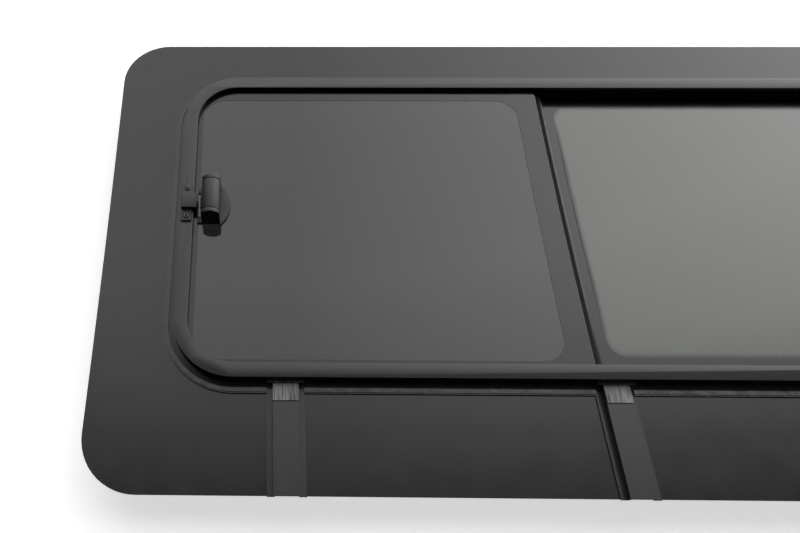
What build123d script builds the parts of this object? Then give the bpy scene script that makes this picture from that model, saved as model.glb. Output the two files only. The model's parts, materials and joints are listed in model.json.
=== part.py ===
"""Sliding side window for a van: one bent outer pane with a bonded slide track, a sash and its latch.

X runs along the window, Z is up and -Y faces into the van. The origin is the middle of the
outer pane, on its inner face. Every layer is a flat outline cut through by a bent slab, so
"level" below means the height above the pane's inner face, measured towards the van's inside.
"""
import os
from math import sqrt

from build123d import *

# Outer pane
PANE_W = 1175.0
PANE_H = 616.0
PANE_CORNER = 63.0
PANE_T = 5.0
BEND_R = 6780.0
PRINT_T = 0.4

# Track frame: outline of its face, then its section
FRAME_W = 988.0
FRAME_H = 421.0
FRAME_Z = 23.8
FRAME_CORNER = 70.0
FACE_W = 16.8
WALL_T = 5.0
FOOT_OUT = 7.2
FOOT_T = 3.0
FRAME_RISE = 22.0
RIB_T = 2.4
RUN_CLEAR = 1.0

# Sash
SASH_T = 4.0
SASH_LEVEL = 14.2
SASH_TUCK = 8.0
SASH_RIGHT = -19.4
SASH_CORNER_RIGHT = 6.0
SASH_BAND_TOP = 16.4
SASH_BAND_LOW = 5.4
SASH_BAND_LEFT = 6.6
SASH_BAND_RIGHT = 28.5
SASH_CLEAR_CORNER = 28.0

# Vent hole behind the sash, fixed light and the post between them
VENT_TUCK = 3.0
VENT_RIGHT = -30.0
VENT_CORNER = 20.0
LIGHT_LEFT = 6.7
LIGHT_BAND = 15.5
LIGHT_CORNER = 20.0
POST_LEFT = -27.0
POST_RIGHT = -8.0
POST_TOP = 7.0
PILE_INSET = 4.0
PILE_CLEAR = 0.4

# Sealant and drains
BEAD_W = 6.4
BEAD_H = 3.8
BEAD_STEPS = 3
DRAIN_SPACING = 365.0
DRAIN_W = 42.0
DRAIN_WEB = 28.6
DRAIN_WALL = 1.6
DRAIN_RISE = 9.0
DRAIN_PAST = 1.4
CLIP_L = 23.0
CLIP_T = 1.4
CLIP_LIP = 3.2
SLOT_W = 20.0

# Latch on the sash
LATCH_X = -455.0
LATCH_Z = 36.2
LATCH_W = 22.6
LATCH_L = 52.6
LATCH_TOP = 48.0
LATCH_ARCH = 7.0
CHEEK_T = 5.0
BASE_T = 3.0
MOON_OUT = 12.5
MOON_L = 58.0
EAR_OUT = 6.0
EAR_L = 9.6
PIN_LEVEL = 30.0
PIN_R = 1.75
PIN_CLEAR = 0.05
SIDE_CLEAR = 0.6
NOSE_OUT = 1.6
NOSE_L = 26.0

# Keeper on the left rail
KEEPER_W = 13.0
KEEPER_L = 53.0
KEEPER_T = 2.5
KEEPER_BAR_L = 20.6
KEEPER_BAR_TOP = 29.5
KEEPER_REACH = 4.2
SCREW_SPACING = 39.6
SCREW_R = 3.4
SCREW_SHANK_R = 1.8
SCREW_HEAD_T = 1.2
SCREW_DEEP = 6.0

# Derived outlines and levels
IN_LEFT = -FRAME_W / 2 + FACE_W
IN_RIGHT = FRAME_W / 2 - FACE_W
IN_TOP = FRAME_Z + FRAME_H / 2 - FACE_W
IN_LOW = FRAME_Z - FRAME_H / 2 + FACE_W
IN_CORNER = FRAME_CORNER - FACE_W
FRAME_LOW = FRAME_Z - FRAME_H / 2
SASH_BACK = SASH_LEVEL - SASH_T
FOOT_TOP = PRINT_T + FOOT_T
RUN_LOW = SASH_BACK - RUN_CLEAR
RUN_TOP = SASH_LEVEL + RUN_CLEAR
SASH_PRINT_TOP = SASH_LEVEL + PRINT_T
THROUGH = 120.0
SLAB_Z = PANE_H * 0.6


def level_y(level, z):
    """Y of the bent surface at a level and a height."""
    return -BEND_R + sqrt((BEND_R - level) ** 2 - z ** 2)


def bend(low, high):
    """Keep only what lies between two levels of the open sub-part."""
    with BuildSketch(Plane.YZ) as slab:
        with BuildLine():
            inner = ThreePointArc((level_y(low, -SLAB_Z), -SLAB_Z), (-low, 0), (level_y(low, SLAB_Z), SLAB_Z))
            outer = ThreePointArc((level_y(high, -SLAB_Z), -SLAB_Z), (-high, 0), (level_y(high, SLAB_Z), SLAB_Z))
            Line(inner @ 0, outer @ 0)
            Line(inner @ 1, outer @ 1)
        make_face()
    extrude(slab.sketch, amount=PANE_W, both=True, mode=Mode.INTERSECT)


def bent_ring(out, inside, low, high):
    """Ring that follows the frame, between two insets from its face's outer edge."""
    with BuildPart() as ring:
        with BuildSketch(Plane.XZ):
            with Locations((0, FRAME_Z)):
                RectangleRounded(FRAME_W - 2 * out, FRAME_H - 2 * out, FRAME_CORNER - out)
                RectangleRounded(FRAME_W - 2 * inside, FRAME_H - 2 * inside, FRAME_CORNER - inside,
                                 mode=Mode.SUBTRACT)
        extrude(amount=THROUGH, both=True)
        bend(low, high)
    return ring.part


def bent_box(left, right, bottom, top, low, high):
    """Block between two levels with straight sides."""
    with BuildPart() as block:
        with BuildSketch(Plane.XZ):
            with Locations(((left + right) / 2, (bottom + top) / 2)):
                Rectangle(right - left, top - bottom)
        extrude(amount=THROUGH, both=True)
        bend(low, high)
    return block.part


def half_outline(left, right, bottom, top, corner_left, corner_right, mode=Mode.ADD):
    """Outline in the open sketch with one radius on its left corners and another on its right."""
    middle = (bottom + top) / 2
    start = left + 2 * corner_left
    with Locations(((left + right) / 2, middle)):
        RectangleRounded(right - left, top - bottom, corner_left, mode=mode)
    with Locations(((start + right) / 2, middle)):
        RectangleRounded(right - start, top - bottom, corner_right, mode=mode)


def vent_outline(mode):
    """Hole in the outer pane that the sash closes."""
    half_outline(IN_LEFT - VENT_TUCK, VENT_RIGHT, IN_LOW - VENT_TUCK, IN_TOP + VENT_TUCK,
                 IN_CORNER + VENT_TUCK, VENT_CORNER, mode)


def sash_outline(inset):
    """Outer edge of the sash, moved in by an inset."""
    half_outline(IN_LEFT - SASH_TUCK + inset, SASH_RIGHT - inset, IN_LOW - SASH_TUCK + inset,
                 IN_TOP + SASH_TUCK - inset, IN_CORNER + SASH_TUCK - inset, SASH_CORNER_RIGHT - inset)


# Outer pane and its printed border
with BuildPart() as outer_pane:
    with BuildSketch(Plane.XZ):
        RectangleRounded(PANE_W, PANE_H, PANE_CORNER)
        vent_outline(Mode.SUBTRACT)
    extrude(amount=THROUGH, both=True)
    bend(-PANE_T, 0)

with BuildPart() as printed_border:
    with BuildSketch(Plane.XZ):
        RectangleRounded(PANE_W, PANE_H, PANE_CORNER)
        vent_outline(Mode.SUBTRACT)
        with Locations(((LIGHT_LEFT + IN_RIGHT - LIGHT_BAND) / 2, (IN_LOW + IN_TOP) / 2)):
            RectangleRounded(IN_RIGHT - LIGHT_BAND - LIGHT_LEFT, IN_TOP - IN_LOW - 2 * LIGHT_BAND,
                             LIGHT_CORNER, mode=Mode.SUBTRACT)
    extrude(amount=THROUGH, both=True)
    bend(0, PRINT_T)

# Track frame: a block ring, less the step over its foot, the sash run and the drain run below it
track_block = bent_ring(-FOOT_OUT, FACE_W, PRINT_T, FRAME_RISE)
foot_step = bent_ring(-FOOT_OUT - 1, 0, FOOT_TOP, FRAME_RISE + 1)
sash_run = bent_ring(WALL_T, FACE_W + 1, RUN_LOW, RUN_TOP)
drain_run = bent_ring(WALL_T, FACE_W + 1, FOOT_TOP, RUN_LOW - RIB_T)
DRAINS = (-DRAIN_SPACING, 0.0, DRAIN_SPACING)
slots = [bent_box(x - SLOT_W / 2, x + SLOT_W / 2, FRAME_LOW - 1, FRAME_LOW + WALL_T + 1,
                  FOOT_TOP, RUN_LOW - RIB_T) for x in DRAINS]
with BuildPart() as track_frame:
    add(track_block)
    for cut in (foot_step, sash_run, drain_run, *slots):
        add(cut, mode=Mode.SUBTRACT)

# Sealant round the foot, broken where the drains start
bead_rings = [bent_ring(-FOOT_OUT - BEAD_W * sqrt(1 - (k / BEAD_STEPS) ** 2), -FOOT_OUT, PRINT_T,
                        PRINT_T + BEAD_H * (k + 1) / BEAD_STEPS) for k in range(BEAD_STEPS)]
bead_gaps = [bent_box(x - DRAIN_W / 2, x + DRAIN_W / 2, FRAME_LOW - FOOT_OUT - 2 * BEAD_W, FRAME_LOW,
                      0, PRINT_T + 2 * BEAD_H) for x in DRAINS]
with BuildPart() as sealant_bead:
    for ring in bead_rings:
        add(ring)
    for cut in bead_gaps:
        add(cut, mode=Mode.SUBTRACT)

# Post at the vent's edge and the pile strip the sash wipes
post_bar = bent_box(POST_LEFT, POST_RIGHT, IN_LOW, IN_TOP, PRINT_T, POST_TOP)
with BuildPart() as post:
    add(post_bar)
pile_bar = bent_box(POST_LEFT + PILE_INSET, POST_RIGHT - PILE_INSET, IN_LOW, IN_TOP, POST_TOP,
                    SASH_BACK - PILE_CLEAR)
with BuildPart() as post_pile:
    add(pile_bar)

# Sash pane and its printed band
with BuildPart() as sash_pane:
    with BuildSketch(Plane.XZ):
        sash_outline(0)
    extrude(amount=THROUGH, both=True)
    bend(SASH_BACK, SASH_LEVEL)

BASE_LEFT = LATCH_X - LATCH_W / 2
BASE_RIGHT = LATCH_X + LATCH_W / 2
LATCH_LOW = LATCH_Z - LATCH_L / 2
LATCH_HIGH = LATCH_Z + LATCH_L / 2
with BuildPart() as sash_band:
    with BuildSketch(Plane.XZ):
        sash_outline(RUN_CLEAR)
        left, right = IN_LEFT + SASH_BAND_LEFT, SASH_RIGHT - SASH_BAND_RIGHT
        low, high = IN_LOW + SASH_BAND_LOW, IN_TOP - SASH_BAND_TOP
        with Locations(((left + right) / 2, (low + high) / 2)):
            RectangleRounded(right - left, high - low, SASH_CLEAR_CORNER, mode=Mode.SUBTRACT)
        with Locations((BASE_LEFT, LATCH_Z)):
            Rectangle(2 * EAR_OUT, LATCH_L, mode=Mode.SUBTRACT)
    extrude(amount=THROUGH, both=True)
    bend(SASH_LEVEL, SASH_PRINT_TOP)

# Latch base: a foot with two ears and a half-moon finger rest, and a cheek at each end
MOON_R = (MOON_L ** 2 / 4 + MOON_OUT ** 2) / (2 * MOON_OUT)
with BuildPart() as base_foot:
    with BuildSketch(Plane.XZ):
        with Locations((LATCH_X, LATCH_Z)):
            Rectangle(LATCH_W, LATCH_L)
        for z in (LATCH_LOW + EAR_L / 2, LATCH_HIGH - EAR_L / 2):
            with Locations((BASE_LEFT, z)):
                Rectangle(2 * EAR_OUT, EAR_L)
        with BuildLine():
            rim = RadiusArc((BASE_RIGHT, LATCH_Z + MOON_L / 2), (BASE_RIGHT, LATCH_Z - MOON_L / 2), MOON_R)
            Line(rim @ 1, rim @ 0)
        make_face()
    extrude(amount=THROUGH, both=True)
    bend(SASH_LEVEL, SASH_LEVEL + BASE_T)


def arch_outline(grow, bottom):
    """Upright section of the latch, arched at its top, drawn on a level cut."""
    half = LATCH_W / 2 - grow
    top = LATCH_TOP - grow
    with BuildLine() as arch:
        Polyline((LATCH_X - half, -(top - LATCH_ARCH)), (LATCH_X - half, -bottom), (LATCH_X + half, -bottom),
                 (LATCH_X + half, -(top - LATCH_ARCH)))
        ThreePointArc((LATCH_X - half, -(top - LATCH_ARCH)), (LATCH_X, -top),
                      (LATCH_X + half, -(top - LATCH_ARCH)))
    make_face(arch.edges())


with BuildPart() as latch_base:
    add(base_foot.part)
    for z in (LATCH_LOW, LATCH_HIGH - CHEEK_T):
        with BuildSketch(Plane.XY.offset(z)):
            arch_outline(0, SASH_LEVEL + BASE_T / 2)
            with Locations((LATCH_X, -PIN_LEVEL)):
                Circle(PIN_R, mode=Mode.SUBTRACT)
        extrude(amount=CHEEK_T)

# Lever between the cheeks: round below the pin so that it tips clear of the foot
KNUCKLE_R = LATCH_W / 2
LEVER_L = LATCH_L - 2 * CHEEK_T - 2 * SIDE_CLEAR
with BuildPart() as latch_lever:
    with BuildSketch(Plane.XY.offset(LATCH_Z - LEVER_L / 2)):
        arch_outline(0, PIN_LEVEL)
        with Locations((LATCH_X, -PIN_LEVEL)):
            Circle(KNUCKLE_R)
            Circle(PIN_R + PIN_CLEAR, mode=Mode.SUBTRACT)
    extrude(amount=LEVER_L)
    with BuildSketch(Plane.XY.offset(LATCH_Z - NOSE_L / 2)):
        with Locations((LATCH_X - KNUCKLE_R, -PIN_LEVEL)):
            Rectangle(2 * NOSE_OUT, 4 * NOSE_OUT)
    extrude(amount=NOSE_L)

with BuildPart() as latch_pin:
    with BuildSketch(Plane.XY.offset(LATCH_LOW)):
        with Locations((LATCH_X, -PIN_LEVEL)):
            Circle(PIN_R)
    extrude(amount=LATCH_L)

# Keeper on the left rail, with its bridge bar and two screws
KEEPER_X = -FRAME_W / 2 + FACE_W / 2
keeper_plate = bent_box(KEEPER_X - KEEPER_W / 2, KEEPER_X + KEEPER_W / 2, LATCH_Z - KEEPER_L / 2,
                        LATCH_Z + KEEPER_L / 2, FRAME_RISE, FRAME_RISE + KEEPER_T)
keeper_bar = bent_box(KEEPER_X - KEEPER_W / 2, IN_LEFT + KEEPER_REACH, LATCH_Z - KEEPER_BAR_L / 2,
                      LATCH_Z + KEEPER_BAR_L / 2, FRAME_RISE + KEEPER_T / 2, KEEPER_BAR_TOP)
SCREW_Z = (LATCH_Z + SCREW_SPACING / 2, LATCH_Z - SCREW_SPACING / 2)
SEAT_Y = [level_y(FRAME_RISE + KEEPER_T, z) for z in SCREW_Z]
with BuildPart() as keeper:
    add(keeper_plate)
    add(keeper_bar)
    for z, y in zip(SCREW_Z, SEAT_Y):
        with BuildSketch(Plane.XZ):
            with Locations((KEEPER_X, z)):
                Circle(SCREW_SHANK_R)
        extrude(amount=THROUGH, mode=Mode.SUBTRACT)
        with BuildSketch(Plane.XZ.offset(-y)):
            with Locations((KEEPER_X, z)):
                Circle(SCREW_R)
        extrude(amount=THROUGH, mode=Mode.SUBTRACT)

# The screws' shanks pass through the keeper into the rail's lip
with BuildPart() as track_drilled:
    add(track_frame.part)
    for z, y in zip(SCREW_Z, SEAT_Y):
        with BuildSketch(Plane.XZ.offset(-y - KEEPER_T - SCREW_DEEP)):
            with Locations((KEEPER_X, z)):
                Circle(SCREW_SHANK_R)
        extrude(amount=THROUGH, mode=Mode.SUBTRACT)

screws = []
for z, y in zip(SCREW_Z, SEAT_Y):
    with BuildPart() as screw:
        with BuildSketch(Plane.XZ.offset(-y)):
            with Locations((KEEPER_X, z)):
                Circle(SCREW_R)
        extrude(amount=SCREW_HEAD_T)
        with BuildSketch(Plane.XZ.offset(-y)):
            with Locations((KEEPER_X, z)):
                Circle(SCREW_SHANK_R)
        extrude(amount=-KEEPER_T - SCREW_DEEP)
    screws.append(screw.part)

# Drains: a hat section laid down the border, and a clip over its top end
DRAIN_TOP = FRAME_LOW - FOOT_OUT
DRAIN_END = -PANE_H / 2 - DRAIN_PAST
drains, clips = [], []
for x in DRAINS:
    flange = bent_box(x - DRAIN_W / 2, x + DRAIN_W / 2, DRAIN_END, DRAIN_TOP, PRINT_T, PRINT_T + DRAIN_WALL)
    hat = bent_box(x - DRAIN_WEB / 2, x + DRAIN_WEB / 2, DRAIN_END, DRAIN_TOP, PRINT_T, DRAIN_RISE)
    duct = bent_box(x - DRAIN_WEB / 2 + DRAIN_WALL, x + DRAIN_WEB / 2 - DRAIN_WALL, DRAIN_END - 1,
                    DRAIN_TOP + 1, 0, DRAIN_RISE - DRAIN_WALL)
    with BuildPart() as drain:
        add(flange)
        add(hat)
        add(duct, mode=Mode.SUBTRACT)
    drains.append(drain.part)
    plate = bent_box(x - DRAIN_WEB / 2, x + DRAIN_WEB / 2, FRAME_LOW - CLIP_L, FRAME_LOW, DRAIN_RISE,
                     DRAIN_RISE + CLIP_T)
    lip = bent_box(x - DRAIN_W / 2, x + DRAIN_W / 2, FRAME_LOW - CLIP_LIP, FRAME_LOW, DRAIN_RISE,
                   DRAIN_RISE + 2 * CLIP_T)
    with BuildPart() as clip:
        add(plate)
        add(lip)
    clips.append(clip.part)

pieces = {
    "outer_pane": outer_pane.part,
    "printed_border": printed_border.part,
    "track_frame": track_drilled.part,
    "sealant_bead": sealant_bead.part,
    "post": post.part,
    "post_pile": post_pile.part,
    "sash_pane": sash_pane.part,
    "sash_band": sash_band.part,
    "latch_base": latch_base.part,
    "latch_lever": latch_lever.part,
    "latch_pin": latch_pin.part,
    "keeper": keeper.part,
    "keeper_screw_upper": screws[0],
    "keeper_screw_lower": screws[1],
}
for side, drain_piece, clip_piece in zip(("left", "centre", "right"), drains, clips):
    pieces["drain_" + side] = drain_piece
    pieces["drain_clip_" + side] = clip_piece

os.makedirs("parts", exist_ok=True)
for name, piece in pieces.items():
    piece.label = name
    export_step(piece, "parts/" + name + ".step")
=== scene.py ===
"""Looks of a bent sliding side window for a van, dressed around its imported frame.

Everything is in metres in the frame of the part: X along the window, Z up, -Y into the van.
"""

import json
import logging
import math
from dataclasses import dataclass, field
from enum import Enum

import bmesh
import bpy
from mathutils import Matrix, Vector

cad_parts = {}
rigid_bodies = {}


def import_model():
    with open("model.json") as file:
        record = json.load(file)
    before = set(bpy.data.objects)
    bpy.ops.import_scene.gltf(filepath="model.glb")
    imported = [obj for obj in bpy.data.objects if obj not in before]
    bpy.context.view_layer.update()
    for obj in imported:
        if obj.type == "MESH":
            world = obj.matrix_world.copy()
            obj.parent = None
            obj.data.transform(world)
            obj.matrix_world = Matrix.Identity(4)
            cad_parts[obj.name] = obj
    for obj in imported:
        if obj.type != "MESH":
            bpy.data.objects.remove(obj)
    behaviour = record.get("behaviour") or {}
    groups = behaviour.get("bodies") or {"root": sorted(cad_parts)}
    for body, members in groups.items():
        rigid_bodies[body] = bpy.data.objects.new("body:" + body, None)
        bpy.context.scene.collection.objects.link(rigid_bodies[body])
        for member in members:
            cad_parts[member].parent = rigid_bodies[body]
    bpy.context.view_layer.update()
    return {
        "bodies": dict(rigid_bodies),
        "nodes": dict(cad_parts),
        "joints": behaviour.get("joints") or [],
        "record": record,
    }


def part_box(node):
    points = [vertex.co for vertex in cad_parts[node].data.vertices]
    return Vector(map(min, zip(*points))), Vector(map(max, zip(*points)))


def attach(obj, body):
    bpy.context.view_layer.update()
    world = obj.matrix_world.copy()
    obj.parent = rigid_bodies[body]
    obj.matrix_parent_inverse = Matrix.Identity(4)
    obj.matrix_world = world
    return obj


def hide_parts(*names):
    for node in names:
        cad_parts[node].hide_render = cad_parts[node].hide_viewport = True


LOG = logging.getLogger("window")
MM = 0.001
IMAGE_WIDTH = 800
IMAGE_HEIGHT = 533
# Share of a noise's range that holds most of its values
NOISE_LOW = 0.3
NOISE_HIGH = 0.7
CLOUD_DETAIL = 6.0
GRAIN_DETAIL = 2.0
# Places of a Mix node's sockets, which share their names between colours and plain values
MIX_VALUE_A = 2
MIX_VALUE_B = 3
MIX_COLOUR_A = 6
MIX_COLOUR_B = 7
MIX_COLOUR_OUT = 2
WHITE = (1, 1, 1, 1)


def linear(hex_colour: str) -> tuple[float, float, float, float]:
    """Turn an sRGB hex colour into linear light.

    Args:
        hex_colour: Six hex digits, with or without a leading hash.

    Returns:
        Red, green, blue and an alpha of one.
    """
    digits = hex_colour.lstrip("#")
    parts = [int(digits[i:i + 2], 16) / 255 for i in (0, 2, 4)]
    red, green, blue = (c / 12.92 if c <= 0.04045 else ((c + 0.055) / 1.055) ** 2.4 for c in parts)
    return red, green, blue, 1.0


def add_node(tree: bpy.types.NodeTree, kind: str, inputs: dict | None = None,
             **settings: object) -> bpy.types.Node:
    """Add a node, set it up and link its inputs.

    Args:
        tree: Node tree that gets the node.
        kind: Blender's name of the node type.
        inputs: Socket name or index to a value, or to an output socket that feeds it.
        settings: Attributes of the node itself.

    Returns:
        The new node.
    """
    node = tree.nodes.new(kind)
    for name, value in settings.items():
        setattr(node, name, value)
    for key, value in (inputs or {}).items():
        if isinstance(value, bpy.types.NodeSocket):
            tree.links.new(value, node.inputs[key])
        else:
            node.inputs[key].default_value = value
    return node


def new_material(name: str) -> tuple[bpy.types.Material, bpy.types.Node]:
    """Start a material.

    Args:
        name: Name of the material.

    Returns:
        The material and its shader node.
    """
    made = bpy.data.materials.new(name)
    made.use_nodes = True
    return made, made.node_tree.nodes["Principled BSDF"]


def seen_straight(tree: bpy.types.NodeTree) -> bpy.types.NodeSocket:
    """Tell apart what is looked at straight or through glass from what only lights or is mirrored.

    Args:
        tree: Node tree that asks.

    Returns:
        A socket that is one for a ray from the camera or through glass.
    """
    path = add_node(tree, "ShaderNodeLightPath")
    rays = {0: path.outputs["Is Camera Ray"], 1: path.outputs["Is Transmission Ray"]}
    return add_node(tree, "ShaderNodeMath", rays, operation="MAXIMUM").outputs[0]


def add_object(name: str, data: bpy.types.ID) -> bpy.types.Object:
    """Put a mesh or a camera into the scene.

    Args:
        name: Name of the object.
        data: What the object holds.

    Returns:
        The new object, at the origin.
    """
    made = bpy.data.objects.new(name, data)
    bpy.context.scene.collection.objects.link(made)
    return made


def make_plain(piece: bpy.types.Object) -> bpy.types.Mesh:
    """Turn what a piece's modifiers give into its own plain mesh.

    Args:
        piece: Object with live modifiers.

    Returns:
        The mesh that the piece now holds.
    """
    ready = piece.evaluated_get(bpy.context.evaluated_depsgraph_get())
    plain = bpy.data.meshes.new_from_object(ready)
    piece.modifiers.clear()
    piece.data = plain
    return plain


@dataclass
class Camera:
    """Camera at the photograph's viewpoint, worked out from the pane's outline and bend."""

    focal_px: float = 671.0
    centre_px: tuple[float, float] = (249.6, 247.2)
    distance: float = 0.837
    target: tuple[float, float, float] = (-0.3952, 0.0, -0.0149)
    pitch: float = 26.79
    yaw: float = -0.803
    roll: float = 0.256
    sensor_mm: float = 36.0
    clip_start: float = 0.01

    def build(self) -> None:
        """Add the camera and make it the scene's own."""
        pitch, yaw, roll = (math.radians(a) for a in (self.pitch, self.yaw, self.roll))
        forward = Vector((0, math.cos(pitch), math.sin(pitch)))
        right = Vector((1, 0, 0))
        up = right.cross(forward)
        place = Vector(self.target) - forward * self.distance
        ahead = right * math.sin(yaw) + forward * math.cos(yaw)
        side = (right * math.cos(yaw) - forward * math.sin(yaw)) * math.cos(roll) + up * math.sin(roll)
        over = side.cross(ahead)
        data = bpy.data.cameras.new("camera")
        data.sensor_width = self.sensor_mm
        data.lens = self.focal_px * self.sensor_mm / IMAGE_WIDTH
        data.shift_x = (IMAGE_WIDTH / 2 - self.centre_px[0]) / IMAGE_WIDTH
        data.shift_y = (self.centre_px[1] - IMAGE_HEIGHT / 2) / IMAGE_WIDTH
        data.clip_start = self.clip_start
        camera = add_object("camera", data)
        camera.matrix_world = Matrix((
            (side.x, over.x, -ahead.x, place.x),
            (side.y, over.y, -ahead.y, place.y),
            (side.z, over.z, -ahead.z, place.z),
            (0, 0, 0, 1),
        ))
        bpy.context.scene.camera = camera


class Pattern(Enum):
    """How a finish varies over its surface."""

    GRAIN = "grain"
    BRUSHED = "brushed"
    CLOUDS = "clouds"
    SPECKS = "specks"


@dataclass(frozen=True)
class Finish:
    """One opaque finish: two tones of a colour, gloss, and a pattern of a real size.

    Args:
        name: Material name, after the real material.
        dark: Hex colour in the pattern's low places.
        light: Hex colour in its high places.
        roughness: Lowest and highest roughness over the pattern.
        size_mm: Width of one mark of the pattern.
        pattern: Kind of pattern.
        bump_mm: Height of the relief.
        metallic: Share of bare metal.
        specular: Strength of the mirror-like share, a half for common plastics.
        stretch: Scale of the pattern along X, Y and Z.
    """

    name: str
    dark: str
    light: str
    roughness: tuple[float, float]
    size_mm: float
    pattern: Pattern = Pattern.CLOUDS
    bump_mm: float = 0.0
    metallic: float = 0.0
    specular: float = 0.5
    stretch: tuple[float, float, float] = (1.0, 1.0, 1.0)

    def material(self) -> bpy.types.Material:
        """Give the finish's material, made once.

        Returns:
            The material, shared by all pieces with this finish.
        """
        known = bpy.data.materials.get(self.name)
        if known:
            return known
        made, shader = new_material(self.name)
        tree = made.node_tree
        shader.inputs["Metallic"].default_value = self.metallic
        shader.inputs["Specular IOR Level"].default_value = self.specular
        place = add_node(tree, "ShaderNodeTexCoord")
        mapped = add_node(tree, "ShaderNodeMapping",
                          {"Vector": place.outputs["Object"], "Scale": self.stretch})
        scale = 1 / (self.size_mm * MM)
        if self.pattern is Pattern.SPECKS:
            marks = add_node(tree, "ShaderNodeTexVoronoi", {"Vector": mapped.outputs[0], "Scale": scale})
            value = marks.outputs["Distance"]
        else:
            detail = CLOUD_DETAIL if self.pattern is Pattern.CLOUDS else GRAIN_DETAIL
            marks = add_node(tree, "ShaderNodeTexNoise",
                             {"Vector": mapped.outputs[0], "Scale": scale, "Detail": detail})
            value = marks.outputs["Fac"]
        span = {"Value": value, "From Min": NOISE_LOW, "From Max": NOISE_HIGH}
        spread = add_node(tree, "ShaderNodeMapRange", span)
        tone = add_node(tree, "ShaderNodeMix",
                        {"Factor": spread.outputs[0], MIX_COLOUR_A: linear(self.dark),
                         MIX_COLOUR_B: linear(self.light)}, data_type="RGBA")
        tree.links.new(tone.outputs[MIX_COLOUR_OUT], shader.inputs["Base Color"])
        low, high = self.roughness
        gloss = add_node(tree, "ShaderNodeMapRange", span | {"To Min": low, "To Max": high})
        tree.links.new(gloss.outputs[0], shader.inputs["Roughness"])
        if self.bump_mm:
            relief = {"Height": value, "Distance": self.bump_mm * MM, "Strength": 1.0}
            bump = add_node(tree, "ShaderNodeBump", relief)
            tree.links.new(bump.outputs[0], shader.inputs["Normal"])
        return made


@dataclass(frozen=True)
class Glass:
    """Float glass tinted in the melt, with the faint film of dust that handling leaves.

    Args:
        name: Material name, after the real material.
        tint: Hex colour of the melt.
        film: Lowest and highest roughness that the film gives.
        film_mm: Width of one cloud of the film.
        film_span: Values of the noise between which the film goes from clean to dusty.
        film_detail: How finely the clouds break up.
        ior: Index of refraction.
    """

    name: str
    tint: str
    film: tuple[float, float] = (0.0, 0.035)
    film_mm: float = 55.0
    film_span: tuple[float, float] = (0.4, 0.8)
    film_detail: float = 5.0
    ior: float = 1.52

    def material(self) -> bpy.types.Material:
        """Give the glass, made once.

        Returns:
            The material, shared by all panes of this glass.
        """
        known = bpy.data.materials.get(self.name)
        if known:
            return known
        made, shader = new_material(self.name)
        tree = made.node_tree
        shader.inputs["Base Color"].default_value = linear(self.tint)
        shader.inputs["Transmission Weight"].default_value = 1.0
        shader.inputs["IOR"].default_value = self.ior
        place = add_node(tree, "ShaderNodeTexCoord")
        dust = add_node(tree, "ShaderNodeTexNoise",
                        {"Vector": place.outputs["Object"], "Scale": 1 / (self.film_mm * MM),
                         "Detail": self.film_detail})
        film = add_node(tree, "ShaderNodeMapRange",
                        {"Value": dust.outputs["Fac"],
                         "From Min": self.film_span[0], "From Max": self.film_span[1],
                         "To Min": self.film[0], "To Max": self.film[1]})
        tree.links.new(film.outputs[0], shader.inputs["Roughness"])
        return made


# Fired ceramic ink: dense black with a soft gloss and a slightly clouded face
PRINT = Finish("ceramic_ink", "1c1c1e", "212123", (0.12, 0.18), 38.0, specular=0.42)
# Powder-coated aluminium: satin black with a fine orange-peel skin
POWDER = Finish("powder_coated_aluminium", "1d1d1e", "242425", (0.30, 0.40), 1.6, Pattern.GRAIN, 0.02)
# Polyurethane sealant, tooled wet: deep black, glossy and uneven along its length
SEALANT = Finish("polyurethane_sealant", "060606", "0c0c0d", (0.07, 0.22), 14.0, Pattern.CLOUDS, 0.5)
# Woven polypropylene pile: matt black tufts
PILE = Finish("polypropylene_pile", "070707", "101011", (0.85, 1.0), 1.2, Pattern.SPECKS, 0.3)
# Moulded nylon with a spark-eroded grain: matt and faintly grey on its high points
NYLON = Finish("grained_nylon", "19191a", "262627", (0.42, 0.58), 0.9, Pattern.GRAIN, 0.05)
# Extruded rigid PVC: smooth, satin, with draw lines along its length
PVC = Finish("extruded_pvc", "27272a", "2a2a2c", (0.26, 0.32), 5.0, Pattern.BRUSHED, 0.004,
             stretch=(1.0, 1.0, 0.04))
# Aluminium tape, black and scratched lengthways so that bare metal shows
TAPE = Finish("scratched_black_aluminium", "222224", "8c8c8e", (0.25, 0.5), 1.3, Pattern.BRUSHED, 0.02, 0.3,
              stretch=(1.0, 1.0, 0.05))
# Black-zinc steel: dark plating, slightly clouded, that catches the light on its rims
ZINC = Finish("black_zinc_steel", "3a3a3b", "5a5a5b", (0.28, 0.42), 2.0, Pattern.CLOUDS, 0.01, 0.8)
# Body-tinted float glass: clear grey-green, bright where the backdrop shows through it
TINTED = Glass("tinted_float_glass", "5a5d58")
# Privacy glass: the same float glass with a much deeper tint
SASH_GLASS = Glass("privacy_float_glass", "262826")

FINISHES = {
    "outer_pane": TINTED, "sash_pane": SASH_GLASS, "printed_border": PRINT, "sash_band": PRINT,
    "track_frame": POWDER, "post": POWDER, "post_pile": PILE, "sealant_bead": SEALANT,
    "keeper_screw_upper": ZINC, "keeper_screw_lower": ZINC, "latch_pin": ZINC,
}
FAMILIES = {"drain_clip": TAPE, "drain": PVC}


def finish_of(node: str) -> Finish | Glass:
    """Pick the finish of a node by its name, or by the family that its name starts with.

    Args:
        node: Name of the CAD node.

    Returns:
        The finish that the real piece has.
    """
    if node in FINISHES:
        return FINISHES[node]
    return next((made for start, made in FAMILIES.items() if node.startswith(start)), NYLON)


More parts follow.
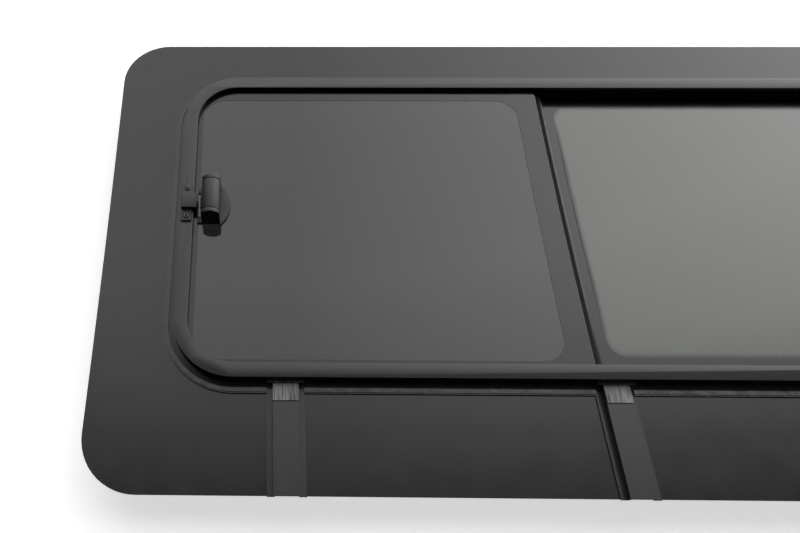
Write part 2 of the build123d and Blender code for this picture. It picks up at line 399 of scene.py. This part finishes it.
@dataclass
class Window:
    """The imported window: which body carries each node, and its dressed copies."""

    frame: dict
    bodies: dict[str, str] = field(default_factory=dict)
    slots: dict[str, str] = field(default_factory=dict)
    merge_m: float = 1e-6
    flat_deg: float = 0.4
    edge_deg: float = 35.0
    edge_steps: int = 3
    crease_deg: float = 32.0

    def __post_init__(self) -> None:
        """Read the bodies and material slots out of the record."""
        record = self.frame["record"]
        for body, nodes in record["behaviour"]["bodies"].items():
            self.bodies.update({node: body for node in nodes})
        self.slots = {row["node"]: row["material_slot"] for row in record["subparts"]}

    def dress(self) -> None:
        """Give every node its finish."""
        for name, node in self.frame["nodes"].items():
            node.data.materials.clear()
            node.data.materials.append(finish_of(name).material())

    def settle(self, piece: bpy.types.Object, node: str, replaces: bool = False) -> None:
        """Let a piece ride with a node's body.

        Args:
            piece: Object made for this window.
            node: CAD node that it stands for or sits on.
            replaces: Whether the node is hidden behind the piece.
        """
        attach(piece, self.bodies[node])
        if replaces:
            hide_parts(node)
        LOG.info("%s rides on %s", piece.name, self.bodies[node])

    def soften(self, node: str, width_mm: float) -> None:
        """Replace a node with a copy whose edges are rounded, as moulding and coating leave them.

        Args:
            node: CAD node to copy.
            width_mm: Width of the rounding.
        """
        shape = bmesh.new()
        shape.from_mesh(self.frame["nodes"][node].data)
        bmesh.ops.remove_doubles(shape, verts=shape.verts, dist=self.merge_m)
        bmesh.ops.dissolve_limit(shape, angle_limit=math.radians(self.flat_deg), verts=shape.verts,
                                 edges=shape.edges)
        mesh = bpy.data.meshes.new(node + "_soft")
        shape.to_mesh(mesh)
        shape.free()
        piece = add_object(node + "_soft", mesh)
        round_over = piece.modifiers.new("round", "BEVEL")
        round_over.width = width_mm * MM
        round_over.segments = self.edge_steps
        round_over.limit_method = "ANGLE"
        round_over.angle_limit = math.radians(self.edge_deg)
        round_over.use_clamp_overlap = True
        round_over.harden_normals = False
        plain = make_plain(piece)
        plain.shade_smooth()
        plain.set_sharp_from_angle(angle=math.radians(self.crease_deg))
        plain.materials.clear()
        plain.materials.append(finish_of(node).material())
        self.settle(piece, node, replaces=True)


@dataclass
class Stage:
    """White backdrop just behind the window, a pale floor and a soft sky that the glass mirrors."""

    backdrop_y: float = 0.045
    floor_z: float = -0.75
    half_size: float = 6.0
    paint: str = "e4e4e4"
    lift: float = 0.62
    glow_x: tuple[float, float] = (0.05, 0.65)
    glow: float = 1.9
    shade_x: tuple[float, float] = (-0.8, -0.4)
    shade: float = 0.06
    sky: tuple[tuple[float, float], ...] = (
        (0.50, 0.03), (0.57, 0.10), (0.60, 0.34), (0.63, 0.95), (0.66, 1.50), (0.71, 1.9), (1.0, 2.0))

    def build(self) -> None:
        """Add the backdrop, the floor and the world."""
        pale = self.pale()
        y, z, s = self.backdrop_y, self.floor_z, self.half_size
        self.sheet("backdrop", ((-s, y, z), (s, y, z), (s, y, s), (-s, y, s)), pale)
        self.sheet("floor", ((-s, y - s, z), (s, y - s, z), (s, y, z), (-s, y, z)), pale)
        self.light()

    def sheet(self, name: str, corners: tuple[tuple[float, float, float], ...],
              material: bpy.types.Material) -> None:
        """Add one flat sheet of the stage.

        Args:
            name: Name of the sheet.
            corners: Its four corners, in order.
            material: Its paint.
        """
        mesh = bpy.data.meshes.new(name)
        mesh.from_pydata(corners, [], [(0, 1, 2, 3)])
        mesh.materials.append(material)
        add_object(name, mesh)

    def pale(self) -> bpy.types.Material:
        """Mix white paint that is seen only straight or through glass, and only from its front.

        Returns:
            The material of the stage's sheets.
        """
        made, shader = new_material("white_card")
        tree = made.node_tree
        shader.inputs["Base Color"].default_value = linear(self.paint)
        shader.inputs["Roughness"].default_value = 1.0
        shader.inputs["Specular IOR Level"].default_value = 0.0
        shader.inputs["Emission Color"].default_value = WHITE
        shader.inputs["Emission Strength"].default_value = self.lift
        side = add_node(tree, "ShaderNodeNewGeometry")
        front = add_node(tree, "ShaderNodeMath", {0: seen_straight(tree), 1: side.outputs["Backfacing"]},
                         operation="SUBTRACT", use_clamp=True)
        clear = add_node(tree, "ShaderNodeBsdfTransparent")
        mix = add_node(tree, "ShaderNodeMixShader",
                       {0: front.outputs[0], 1: clear.outputs[0], 2: shader.outputs[0]})
        tree.links.new(mix.outputs[0], tree.nodes["Material Output"].inputs["Surface"])
        return made

    def light(self) -> None:
        """Sky that brightens with height, white where it is seen straight or through glass."""
        world = bpy.data.worlds.new("studio")
        bpy.context.scene.world = world
        world.use_nodes = True
        tree = world.node_tree
        ground = tree.nodes["Background"]
        ground.inputs["Color"].default_value = WHITE
        place = add_node(tree, "ShaderNodeTexCoord")
        way = add_node(tree, "ShaderNodeSeparateXYZ", {0: place.outputs["Generated"]})
        height = add_node(tree, "ShaderNodeMapRange", {"Value": way.outputs["Z"], "From Min": -1.0})
        ramp = add_node(tree, "ShaderNodeValToRGB", {"Fac": height.outputs[0]})
        brightest = max(level for _, level in self.sky)
        stops = ramp.color_ramp.elements
        while len(stops) < len(self.sky):
            stops.new(self.sky[0][0])
        for stop, (at, level) in zip(stops, self.sky):
            stop.position = at
            stop.color = (level / brightest,) * 3 + (1,)
        side = add_node(tree, "ShaderNodeMapRange",
                        {"Value": way.outputs["X"],
                         "From Min": self.glow_x[0], "From Max": self.glow_x[1],
                         "To Min": brightest, "To Max": brightest * self.glow})
        lit = add_node(tree, "ShaderNodeMath", {0: ramp.outputs[0], 1: side.outputs[0]},
                       operation="MULTIPLY")
        shade = add_node(tree, "ShaderNodeMapRange",
                         {"Value": way.outputs["X"],
                          "From Min": self.shade_x[0], "From Max": self.shade_x[1],
                          "To Min": self.shade, "To Max": 1.0})
        sky = add_node(tree, "ShaderNodeMath", {0: lit.outputs[0], 1: shade.outputs[0]},
                       operation="MULTIPLY")
        level = add_node(tree, "ShaderNodeMix",
                         {0: seen_straight(tree), MIX_VALUE_A: sky.outputs[0], MIX_VALUE_B: 1.0})
        tree.links.new(level.outputs[0], ground.inputs["Strength"])


@dataclass
class DotFade:
    """Rows of printed dots that let the black border fade into the clear part of the fixed half."""

    left_mm: float = 6.7
    right_mm: float = 461.0
    low_mm: float = -153.7
    high_mm: float = 201.3
    corner_mm: float = 20.0
    bend_mm: float = 6780.0
    pitch_mm: float = 2.5
    first_mm: float = 0.7
    radii_mm: tuple[float, ...] = (0.95, 0.6)
    thick_mm: float = 0.3
    arc_steps: int = 12
    sides: int = 10

    def path(self, inset_mm: float) -> list[tuple[float, float, float]]:
        """Trace the clear part's outline on the bend, moved in by an inset.

        Args:
            inset_mm: How far inside the clear edge the row runs.

        Returns:
            Corner points in metres, in order round the outline.
        """
        radius = self.corner_mm - inset_mm
        centres = ((self.right_mm - self.corner_mm, self.high_mm - self.corner_mm),
                   (self.left_mm + self.corner_mm, self.high_mm - self.corner_mm),
                   (self.left_mm + self.corner_mm, self.low_mm + self.corner_mm),
                   (self.right_mm - self.corner_mm, self.low_mm + self.corner_mm))
        points = []
        for quarter, (x, z) in enumerate(centres):
            for step in range(self.arc_steps + 1):
                turn = math.pi / 2 * (quarter + step / self.arc_steps)
                px, pz = x + radius * math.cos(turn), z + radius * math.sin(turn)
                points.append((px * MM, -pz * pz / (2 * self.bend_mm) * MM, pz * MM))
        return points

    def tree(self) -> bpy.types.NodeTree:
        """Build the geometry nodes that set a disc at every pitch along a closed path.

        Returns:
            The node tree, with named inputs for its sizes.
        """
        tree = bpy.data.node_groups.new("dot_row", "GeometryNodeTree")
        tree.interface.new_socket("Path", in_out="INPUT", socket_type="NodeSocketGeometry")
        for name in ("Pitch", "Radius", "Thickness"):
            tree.interface.new_socket(name, in_out="INPUT", socket_type="NodeSocketFloat")
        tree.interface.new_socket("Ink", in_out="INPUT", socket_type="NodeSocketMaterial")
        tree.interface.new_socket("Dots", in_out="OUTPUT", socket_type="NodeSocketGeometry")
        given = add_node(tree, "NodeGroupInput").outputs
        curve = add_node(tree, "GeometryNodeMeshToCurve", {"Mesh": given["Path"]})
        spots = add_node(tree, "GeometryNodeCurveToPoints",
                         {"Curve": curve.outputs[0], "Length": given["Pitch"]}, mode="LENGTH")
        disc = add_node(tree, "GeometryNodeMeshCylinder",
                        {"Vertices": self.sides, "Radius": given["Radius"], "Depth": given["Thickness"]})
        flat = add_node(tree, "GeometryNodeTransform",
                        {"Geometry": disc.outputs["Mesh"], "Rotation": (math.pi / 2, 0, 0)})
        placed = add_node(tree, "GeometryNodeInstanceOnPoints",
                          {"Points": spots.outputs["Points"], "Instance": flat.outputs[0]})
        real = add_node(tree, "GeometryNodeRealizeInstances", {"Geometry": placed.outputs[0]})
        inked = add_node(tree, "GeometryNodeSetMaterial",
                         {"Geometry": real.outputs[0], "Material": given["Ink"]})
        add_node(tree, "NodeGroupOutput", {0: inked.outputs[0]})
        return tree

    def build(self, window: Window) -> None:
        """Lay the rows on the pane.

        Args:
            window: Window that the dots are printed on.
        """
        tree = self.tree()
        inputs = [item for item in tree.interface.items_tree if item.in_out == "INPUT"]
        sockets = {item.name: item.identifier for item in inputs}
        for row, radius in enumerate(self.radii_mm):
            points = self.path(self.first_mm + row * self.pitch_mm)
            mesh = bpy.data.meshes.new("dot_row")
            mesh.from_pydata(points, [(i, (i + 1) % len(points)) for i in range(len(points))], [])
            piece = add_object(f"dot_row_{row + 1}", mesh)
            maker = piece.modifiers.new("dots", "NODES")
            maker.node_group = tree
            maker[sockets["Pitch"]] = self.pitch_mm * MM
            maker[sockets["Radius"]] = radius * MM
            maker[sockets["Thickness"]] = self.thick_mm * MM
            maker[sockets["Ink"]] = PRINT.material()
            make_plain(piece)
            window.settle(piece, "printed_border")


@dataclass
class ScrewHead:
    """Pan-head screw of the keeper: a rounded rim round a hollow drive."""

    node: str
    profile: tuple[tuple[float, float], ...] = (
        (0.38, 0.0), (0.44, 0.92), (0.62, 1.0), (0.84, 0.88), (0.97, 0.55), (1.0, 0.0))
    sides: int = 24
    rise_share: float = 0.35
    crease_deg: float = 40.0

    def build(self, window: Window) -> None:
        """Turn the head's profile over the node's own head.

        Args:
            window: Window that the screw belongs to.
        """
        low, high = (Vector(v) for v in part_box(self.node))
        middle = (low + high) / 2
        radius = (high.x - low.x) / 2
        rise = radius * self.rise_share
        seat = low.y + rise
        shape = bmesh.new()
        rings = []
        for share, level in self.profile:
            ring = []
            for side in range(self.sides):
                turn = 2 * math.pi * side / self.sides
                x = middle.x + radius * share * math.cos(turn)
                z = middle.z + radius * share * math.sin(turn)
                ring.append(shape.verts.new((x, seat - rise * level, z)))
            rings.append(ring)
        for inner, outer in zip(rings, rings[1:]):
            for side in range(self.sides):
                after = (side + 1) % self.sides
                shape.faces.new((inner[side], inner[after], outer[after], outer[side]))
        shape.faces.new(rings[0])
        shape.faces.new(list(reversed(rings[-1])))
        bmesh.ops.recalc_face_normals(shape, faces=shape.faces)
        mesh = bpy.data.meshes.new(self.node + "_head")
        shape.to_mesh(mesh)
        shape.free()
        mesh.shade_smooth()
        mesh.set_sharp_from_angle(angle=math.radians(self.crease_deg))
        mesh.materials.append(ZINC.material())
        piece = add_object(self.node + "_head", mesh)
        window.settle(piece, self.node, replaces=True)


# Width in millimetres of the rounding that moulding or coating leaves on each piece
SOFT_EDGES = {"track_frame": 1.2, "post": 0.8, "keeper": 1.0, "latch_base": 0.9, "latch_lever": 1.0}
SCREWS = ("keeper_screw_upper", "keeper_screw_lower")


def main() -> None:
    """Build the window and its stage."""
    logging.basicConfig(level=logging.INFO, format="%(name)s: %(message)s")
    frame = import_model()
    window = Window(frame)
    window.dress()
    for node, width in SOFT_EDGES.items():
        window.soften(node, width)
    DotFade().build(window)
    for node in SCREWS:
        ScrewHead(node).build(window)
    Stage().build()
    Camera().build()
    bpy.context.scene.view_settings.view_transform = "Standard"


if __name__ == "__main__":
    main()
